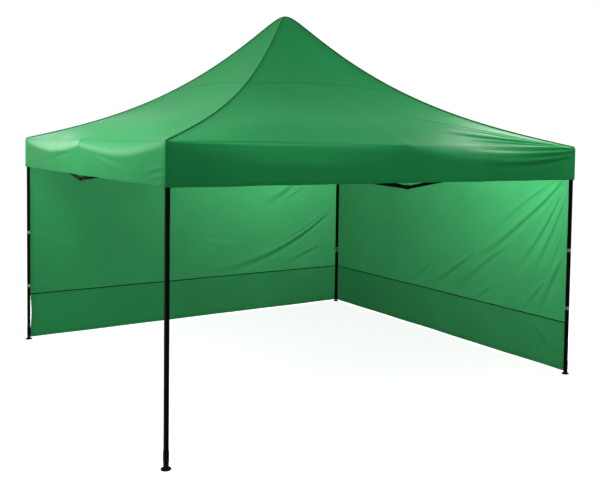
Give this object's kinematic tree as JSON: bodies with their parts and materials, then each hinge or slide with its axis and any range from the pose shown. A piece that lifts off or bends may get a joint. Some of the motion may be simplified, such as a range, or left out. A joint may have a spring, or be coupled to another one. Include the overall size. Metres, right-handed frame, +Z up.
{
  "type": "pop up canopy",
  "caption": "Square pop up canopy on telescopic legs: folding scissor frame, concave pitched cover with a straight valance, and cloth walls on adjacent sides.",
  "frame": {"origin": "on the floor, under the middle of the four legs", "axes": "+Z up, the open front towards -Y, the walls at +Y (back) and +X (right)"},
  "size_m": [4.018, 4.018, 3.391],
  "materials": {
    "frame_paint": "satin black",
    "nylon": "matte black",
    "pin_steel": "zinc plated",
    "cloth": "coated polyester"
  },
  "bodies": {
    "upper_hub": {"upper_hub": "nylon", "canopy_cover": "cloth"},
    "mast": {"mast": "frame_paint", "mast_cap": "nylon"},
    "lower_hub": {"lower_hub": "nylon"},
    "arm_fall_front": {"arm_fall_front": "frame_paint"},
    "arm_rise_front": {"arm_rise_front": "frame_paint"},
    "lower_joiner_front": {"lower_joiner_front": "nylon"},
    "upper_joiner_front": {"upper_joiner_front": "nylon"},
    "front_fall_a": {"front_fall_a": "frame_paint"},
    "front_rise_a": {"front_rise_a": "frame_paint"},
    "front_fall_b": {"front_fall_b": "frame_paint"},
    "front_rise_b": {"front_rise_b": "frame_paint"},
    "arm_fall_right": {"arm_fall_right": "frame_paint"},
    "arm_rise_right": {"arm_rise_right": "frame_paint"},
    "lower_joiner_right": {"lower_joiner_right": "nylon"},
    "upper_joiner_right": {"upper_joiner_right": "nylon"},
    "right_fall_a": {"right_fall_a": "frame_paint"},
    "right_rise_a": {"right_rise_a": "frame_paint"},
    "right_fall_b": {"right_fall_b": "frame_paint"},
    "right_rise_b": {"right_rise_b": "frame_paint"},
    "arm_fall_back": {"arm_fall_back": "frame_paint"},
    "arm_rise_back": {"arm_rise_back": "frame_paint"},
    "lower_joiner_back": {"lower_joiner_back": "nylon"},
    "upper_joiner_back": {"upper_joiner_back": "nylon"},
    "back_fall_a": {"back_fall_a": "frame_paint"},
    "back_rise_a": {"back_rise_a": "frame_paint"},
    "back_fall_b": {"back_fall_b": "frame_paint"},
    "back_rise_b": {"back_rise_b": "frame_paint"},
    "arm_fall_left": {"arm_fall_left": "frame_paint"},
    "arm_rise_left": {"arm_rise_left": "frame_paint"},
    "lower_joiner_left": {"lower_joiner_left": "nylon"},
    "upper_joiner_left": {"upper_joiner_left": "nylon"},
    "left_fall_a": {"left_fall_a": "frame_paint"},
    "left_rise_a": {"left_rise_a": "frame_paint"},
    "left_fall_b": {"left_fall_b": "frame_paint"},
    "left_rise_b": {"left_rise_b": "frame_paint"},
    "outer_leg_front_left": {"outer_leg_front_left": "frame_paint"},
    "inner_leg_front_left": {"inner_leg_front_left": "frame_paint"},
    "slider_front_left": {"slider_front_left": "nylon"},
    "slider_lock_front_left": {"slider_lock_front_left": "pin_steel"},
    "leg_button_front_left": {"leg_button_front_left": "pin_steel"},
    "outer_leg_front_right": {"outer_leg_front_right": "frame_paint"},
    "inner_leg_front_right": {"inner_leg_front_right": "frame_paint"},
    "slider_front_right": {"slider_front_right": "nylon"},
    "slider_lock_front_right": {"slider_lock_front_right": "pin_steel"},
    "leg_button_front_right": {"leg_button_front_right": "pin_steel"},
    "outer_leg_back_right": {"outer_leg_back_right": "frame_paint", "back_wall": "cloth", "right_wall": "cloth"},
    "inner_leg_back_right": {"inner_leg_back_right": "frame_paint"},
    "slider_back_right": {"slider_back_right": "nylon"},
    "slider_lock_back_right": {"slider_lock_back_right": "pin_steel"},
    "leg_button_back_right": {"leg_button_back_right": "pin_steel"},
    "outer_leg_back_left": {"outer_leg_back_left": "frame_paint"},
    "inner_leg_back_left": {"inner_leg_back_left": "frame_paint"},
    "slider_back_left": {"slider_back_left": "nylon"},
    "slider_lock_back_left": {"slider_lock_back_left": "pin_steel"},
    "leg_button_back_left": {"leg_button_back_left": "pin_steel"}
  },
  "joints": [
    {"name": "frame_fold", "type": "hinge", "parent": "upper_hub", "child": "arm_fall_front", "pos_m": [-0.007, -0.038, 2.073], "axis": [1, 0, 0], "range_deg": [0, 79.5], "deforming": ["canopy_cover", "back_wall", "right_wall"]},
    {"name": "lower_joiner_front_pivot", "type": "hinge", "parent": "arm_fall_front", "child": "lower_joiner_front", "pos_m": [-0.007, -1.939, 1.815], "axis": [1, 0, 0], "range_deg": [-79.5, 0]},
    {"name": "arm_cross_front", "type": "hinge", "parent": "arm_fall_front", "child": "arm_rise_front", "pos_m": [0, -0.82216, 1.96657], "axis": [1, 0, 0], "range_deg": [-159, 0]},
    {"name": "upper_joiner_front_pivot", "type": "hinge", "parent": "arm_rise_front", "child": "upper_joiner_front", "pos_m": [0.007, -1.939, 2.11815], "axis": [1, 0, 0], "range_deg": [0, 79.5]},
    {"name": "lower_hub_pivot", "type": "hinge", "parent": "arm_rise_front", "child": "lower_hub", "pos_m": [0.007, -0.038, 1.86015], "axis": [1, 0, 0], "range_deg": [0, 79.5]},
    {"name": "front_fall_a_pivot", "type": "hinge", "parent": "lower_joiner_front", "child": "front_fall_a", "pos_m": [-0.03, -1.982, 1.815], "axis": [0, 1, 0], "range_deg": [0, 79.5]},
    {"name": "front_cross_a", "type": "hinge", "parent": "front_fall_a", "child": "front_rise_a", "pos_m": [-1.14684, -1.975, 1.96657], "axis": [0, 1, 0], "range_deg": [-159, 0]},
    {"name": "front_fall_b_pivot", "type": "hinge", "parent": "lower_joiner_front", "child": "front_fall_b", "pos_m": [0.03, -1.982, 1.815], "axis": [0, -1, 0], "range_deg": [0, 79.5]},
    {"name": "front_cross_b", "type": "hinge", "parent": "front_fall_b", "child": "front_rise_b", "pos_m": [1.14684, -1.975, 1.96657], "axis": [0, -1, 0], "range_deg": [-159, 0]},
    {"name": "arm_fall_right_pivot", "type": "hinge", "parent": "upper_hub", "child": "arm_fall_right", "pos_m": [0.038, -0.007, 2.073], "axis": [0, 1, 0], "range_deg": [0, 79.5]},
    {"name": "lower_joiner_right_pivot", "type": "hinge", "parent": "arm_fall_right", "child": "lower_joiner_right", "pos_m": [1.939, -0.007, 1.815], "axis": [0, 1, 0], "range_deg": [-79.5, 0]},
    {"name": "arm_cross_right", "type": "hinge", "parent": "arm_fall_right", "child": "arm_rise_right", "pos_m": [0.82216, 0, 1.96657], "axis": [0, 1, 0], "range_deg": [-159, 0]},
    {"name": "upper_joiner_right_pivot", "type": "hinge", "parent": "arm_rise_right", "child": "upper_joiner_right", "pos_m": [1.939, 0.007, 2.11815], "axis": [0, 1, 0], "range_deg": [0, 79.5]},
    {"name": "right_fall_a_pivot", "type": "hinge", "parent": "lower_joiner_right", "child": "right_fall_a", "pos_m": [1.982, -0.03, 1.815], "axis": [-1, 0, 0], "range_deg": [0, 79.5]},
    {"name": "right_cross_a", "type": "hinge", "parent": "right_fall_a", "child": "right_rise_a", "pos_m": [1.975, -1.14684, 1.96657], "axis": [-1, 0, 0], "range_deg": [-159, 0]},
    {"name": "right_fall_b_pivot", "type": "hinge", "parent": "lower_joiner_right", "child": "right_fall_b", "pos_m": [1.982, 0.03, 1.815], "axis": [1, 0, 0], "range_deg": [0, 79.5]},
    {"name": "right_cross_b", "type": "hinge", "parent": "right_fall_b", "child": "right_rise_b", "pos_m": [1.975, 1.14684, 1.96657], "axis": [1, 0, 0], "range_deg": [-159, 0]},
    {"name": "arm_fall_back_pivot", "type": "hinge", "parent": "upper_hub", "child": "arm_fall_back", "pos_m": [0.007, 0.038, 2.073], "axis": [-1, 0, 0], "range_deg": [0, 79.5]},
    {"name": "lower_joiner_back_pivot", "type": "hinge", "parent": "arm_fall_back", "child": "lower_joiner_back", "pos_m": [0.007, 1.939, 1.815], "axis": [-1, 0, 0], "range_deg": [-79.5, 0]},
    {"name": "arm_cross_back", "type": "hinge", "parent": "arm_fall_back", "child": "arm_rise_back", "pos_m": [0, 0.82216, 1.96657], "axis": [-1, 0, 0], "range_deg": [-159, 0]},
    {"name": "upper_joiner_back_pivot", "type": "hinge", "parent": "arm_rise_back", "child": "upper_joiner_back", "pos_m": [-0.007, 1.939, 2.11815], "axis": [-1, 0, 0], "range_deg": [0, 79.5]},
    {"name": "back_fall_a_pivot", "type": "hinge", "parent": "lower_joiner_back", "child": "back_fall_a", "pos_m": [0.03, 1.982, 1.815], "axis": [0, -1, 0], "range_deg": [0, 79.5]},
    {"name": "back_cross_a", "type": "hinge", "parent": "back_fall_a", "child": "back_rise_a", "pos_m": [1.14684, 1.975, 1.96657], "axis": [0, -1, 0], "range_deg": [-159, 0]},
    {"name": "back_fall_b_pivot", "type": "hinge", "parent": "lower_joiner_back", "child": "back_fall_b", "pos_m": [-0.03, 1.982, 1.815], "axis": [0, 1, 0], "range_deg": [0, 79.5]},
    {"name": "back_cross_b", "type": "hinge", "parent": "back_fall_b", "child": "back_rise_b", "pos_m": [-1.14684, 1.975, 1.96657], "axis": [0, 1, 0], "range_deg": [-159, 0]},
    {"name": "arm_fall_left_pivot", "type": "hinge", "parent": "upper_hub", "child": "arm_fall_left", "pos_m": [-0.038, 0.007, 2.073], "axis": [0, -1, 0], "range_deg": [0, 79.5]},
    {"name": "lower_joiner_left_pivot", "type": "hinge", "parent": "arm_fall_left", "child": "lower_joiner_left", "pos_m": [-1.939, 0.007, 1.815], "axis": [0, -1, 0], "range_deg": [-79.5, 0]},
    {"name": "arm_cross_left", "type": "hinge", "parent": "arm_fall_left", "child": "arm_rise_left", "pos_m": [-0.82216, 0, 1.96657], "axis": [0, -1, 0], "range_deg": [-159, 0]},
    {"name": "upper_joiner_left_pivot", "type": "hinge", "parent": "arm_rise_left", "child": "upper_joiner_left", "pos_m": [-1.939, -0.007, 2.11815], "axis": [0, -1, 0], "range_deg": [0, 79.5]},
    {"name": "left_fall_a_pivot", "type": "hinge", "parent": "lower_joiner_left", "child": "left_fall_a", "pos_m": [-1.982, 0.03, 1.815], "axis": [1, 0, 0], "range_deg": [0, 79.5]},
    {"name": "left_cross_a", "type": "hinge", "parent": "left_fall_a", "child": "left_rise_a", "pos_m": [-1.975, 1.14684, 1.96657], "axis": [1, 0, 0], "range_deg": [-159, 0]},
    {"name": "left_fall_b_pivot", "type": "hinge", "parent": "lower_joiner_left", "child": "left_fall_b", "pos_m": [-1.982, -0.03, 1.815], "axis": [-1, 0, 0], "range_deg": [0, 79.5]},
    {"name": "left_cross_b", "type": "hinge", "parent": "left_fall_b", "child": "left_rise_b", "pos_m": [-1.975, -1.14684, 1.96657], "axis": [-1, 0, 0], "range_deg": [-159, 0]},
    {"name": "leg_front_left_pivot", "type": "hinge", "parent": "front_fall_a", "child": "outer_leg_front_left", "pos_m": [-1.931, -1.982, 2.073], "axis": [0, 1, 0], "range_deg": [-79.5, 0]},
    {"name": "slider_front_left_pivot", "type": "hinge", "parent": "front_rise_a", "child": "slider_front_left", "pos_m": [-1.931, -1.968, 1.86015], "axis": [0, 1, 0], "range_deg": [0, 79.5]},
    {"name": "leg_front_right_pivot", "type": "hinge", "parent": "right_fall_a", "child": "outer_leg_front_right", "pos_m": [1.982, -1.931, 2.073], "axis": [-1, 0, 0], "range_deg": [-79.5, 0]},
    {"name": "slider_front_right_pivot", "type": "hinge", "parent": "right_rise_a", "child": "slider_front_right", "pos_m": [1.968, -1.931, 1.86015], "axis": [-1, 0, 0], "range_deg": [0, 79.5]},
    {"name": "leg_back_right_pivot", "type": "hinge", "parent": "back_fall_a", "child": "outer_leg_back_right", "pos_m": [1.931, 1.982, 2.073], "axis": [0, -1, 0], "range_deg": [-79.5, 0]},
    {"name": "slider_back_right_pivot", "type": "hinge", "parent": "back_rise_a", "child": "slider_back_right", "pos_m": [1.931, 1.968, 1.86015], "axis": [0, -1, 0], "range_deg": [0, 79.5]},
    {"name": "leg_back_left_pivot", "type": "hinge", "parent": "left_fall_a", "child": "outer_leg_back_left", "pos_m": [-1.982, 1.931, 2.073], "axis": [1, 0, 0], "range_deg": [-79.5, 0]},
    {"name": "slider_back_left_pivot", "type": "hinge", "parent": "left_rise_a", "child": "slider_back_left", "pos_m": [-1.968, 1.931, 1.86015], "axis": [1, 0, 0], "range_deg": [0, 79.5]},
    {"name": "leg_front_left_extend", "type": "slide", "parent": "outer_leg_front_left", "child": "inner_leg_front_left", "axis": [0, 0, -1], "range_m": [0, 0.3]},
    {"name": "slider_front_left_lock", "type": "slide", "parent": "slider_front_left", "child": "slider_lock_front_left", "axis": [1, 0, 0], "range_m": [0, 0.008], "stiffness_N_per_m": 700},
    {"name": "leg_front_left_button", "type": "slide", "parent": "outer_leg_front_left", "child": "leg_button_front_left", "axis": [0, 1, 0], "range_m": [0, 0.002], "stiffness_N_per_m": 900},
    {"name": "leg_front_right_extend", "type": "slide", "parent": "outer_leg_front_right", "child": "inner_leg_front_right", "axis": [0, 0, -1], "range_m": [0, 0.3]},
    {"name": "slider_front_right_lock", "type": "slide", "parent": "slider_front_right", "child": "slider_lock_front_right", "axis": [0, 1, 0], "range_m": [0, 0.008], "stiffness_N_per_m": 700},
    {"name": "leg_front_right_button", "type": "slide", "parent": "outer_leg_front_right", "child": "leg_button_front_right", "axis": [-1, 0, 0], "range_m": [0, 0.002], "stiffness_N_per_m": 900},
    {"name": "leg_back_right_extend", "type": "slide", "parent": "outer_leg_back_right", "child": "inner_leg_back_right", "axis": [0, 0, -1], "range_m": [0, 0.3]},
    {"name": "slider_back_right_lock", "type": "slide", "parent": "slider_back_right", "child": "slider_lock_back_right", "axis": [-1, 0, 0], "range_m": [0, 0.008], "stiffness_N_per_m": 700},
    {"name": "leg_back_right_button", "type": "slide", "parent": "outer_leg_back_right", "child": "leg_button_back_right", "axis": [0, -1, 0], "range_m": [0, 0.002], "stiffness_N_per_m": 900},
    {"name": "leg_back_left_extend", "type": "slide", "parent": "outer_leg_back_left", "child": "inner_leg_back_left", "axis": [0, 0, -1], "range_m": [0, 0.3]},
    {"name": "slider_back_left_lock", "type": "slide", "parent": "slider_back_left", "child": "slider_lock_back_left", "axis": [0, -1, 0], "range_m": [0, 0.008], "stiffness_N_per_m": 700},
    {"name": "leg_back_left_button", "type": "slide", "parent": "outer_leg_back_left", "child": "leg_button_back_left", "axis": [1, 0, 0], "range_m": [0, 0.002], "stiffness_N_per_m": 900},
    {"name": "mast_drop", "type": "slide", "parent": "upper_hub", "child": "mast", "axis": [0, 0, -1], "range_m": [0, 1.19]}
  ],
  "couplings": [
    {"joint": "lower_joiner_front_pivot", "follows": "frame_fold", "ratio": -1},
    {"joint": "arm_cross_front", "follows": "frame_fold", "ratio": -2},
    {"joint": "upper_joiner_front_pivot", "follows": "frame_fold", "ratio": 1},
    {"joint": "lower_hub_pivot", "follows": "frame_fold", "ratio": 1},
    {"joint": "front_fall_a_pivot", "follows": "frame_fold", "ratio": 1},
    {"joint": "front_cross_a", "follows": "frame_fold", "ratio": -2},
    {"joint": "front_fall_b_pivot", "follows": "frame_fold", "ratio": 1},
    {"joint": "front_cross_b", "follows": "frame_fold", "ratio": -2},
    {"joint": "arm_fall_right_pivot", "follows": "frame_fold", "ratio": 1},
    {"joint": "lower_joiner_right_pivot", "follows": "frame_fold", "ratio": -1},
    {"joint": "arm_cross_right", "follows": "frame_fold", "ratio": -2},
    {"joint": "upper_joiner_right_pivot", "follows": "frame_fold", "ratio": 1},
    {"joint": "right_fall_a_pivot", "follows": "frame_fold", "ratio": 1},
    {"joint": "right_cross_a", "follows": "frame_fold", "ratio": -2},
    {"joint": "right_fall_b_pivot", "follows": "frame_fold", "ratio": 1},
    {"joint": "right_cross_b", "follows": "frame_fold", "ratio": -2},
    {"joint": "arm_fall_back_pivot", "follows": "frame_fold", "ratio": 1},
    {"joint": "lower_joiner_back_pivot", "follows": "frame_fold", "ratio": -1},
    {"joint": "arm_cross_back", "follows": "frame_fold", "ratio": -2},
    {"joint": "upper_joiner_back_pivot", "follows": "frame_fold", "ratio": 1},
    {"joint": "back_fall_a_pivot", "follows": "frame_fold", "ratio": 1},
    {"joint": "back_cross_a", "follows": "frame_fold", "ratio": -2},
    {"joint": "back_fall_b_pivot", "follows": "frame_fold", "ratio": 1},
    {"joint": "back_cross_b", "follows": "frame_fold", "ratio": -2},
    {"joint": "arm_fall_left_pivot", "follows": "frame_fold", "ratio": 1},
    {"joint": "lower_joiner_left_pivot", "follows": "frame_fold", "ratio": -1},
    {"joint": "arm_cross_left", "follows": "frame_fold", "ratio": -2},
    {"joint": "upper_joiner_left_pivot", "follows": "frame_fold", "ratio": 1},
    {"joint": "left_fall_a_pivot", "follows": "frame_fold", "ratio": 1},
    {"joint": "left_cross_a", "follows": "frame_fold", "ratio": -2},
    {"joint": "left_fall_b_pivot", "follows": "frame_fold", "ratio": 1},
    {"joint": "left_cross_b", "follows": "frame_fold", "ratio": -2},
    {"joint": "leg_front_left_pivot", "follows": "frame_fold", "ratio": -1},
    {"joint": "slider_front_left_pivot", "follows": "frame_fold", "ratio": 1},
    {"joint": "leg_front_right_pivot", "follows": "frame_fold", "ratio": -1},
    {"joint": "slider_front_right_pivot", "follows": "frame_fold", "ratio": 1},
    {"joint": "leg_back_right_pivot", "follows": "frame_fold", "ratio": -1},
    {"joint": "slider_back_right_pivot", "follows": "frame_fold", "ratio": 1},
    {"joint": "leg_back_left_pivot", "follows": "frame_fold", "ratio": -1},
    {"joint": "slider_back_left_pivot", "follows": "frame_fold", "ratio": 1},
    {"joint": "mast_drop", "follows": "frame_fold", "m_per_rad": 0.85763}
  ]
}
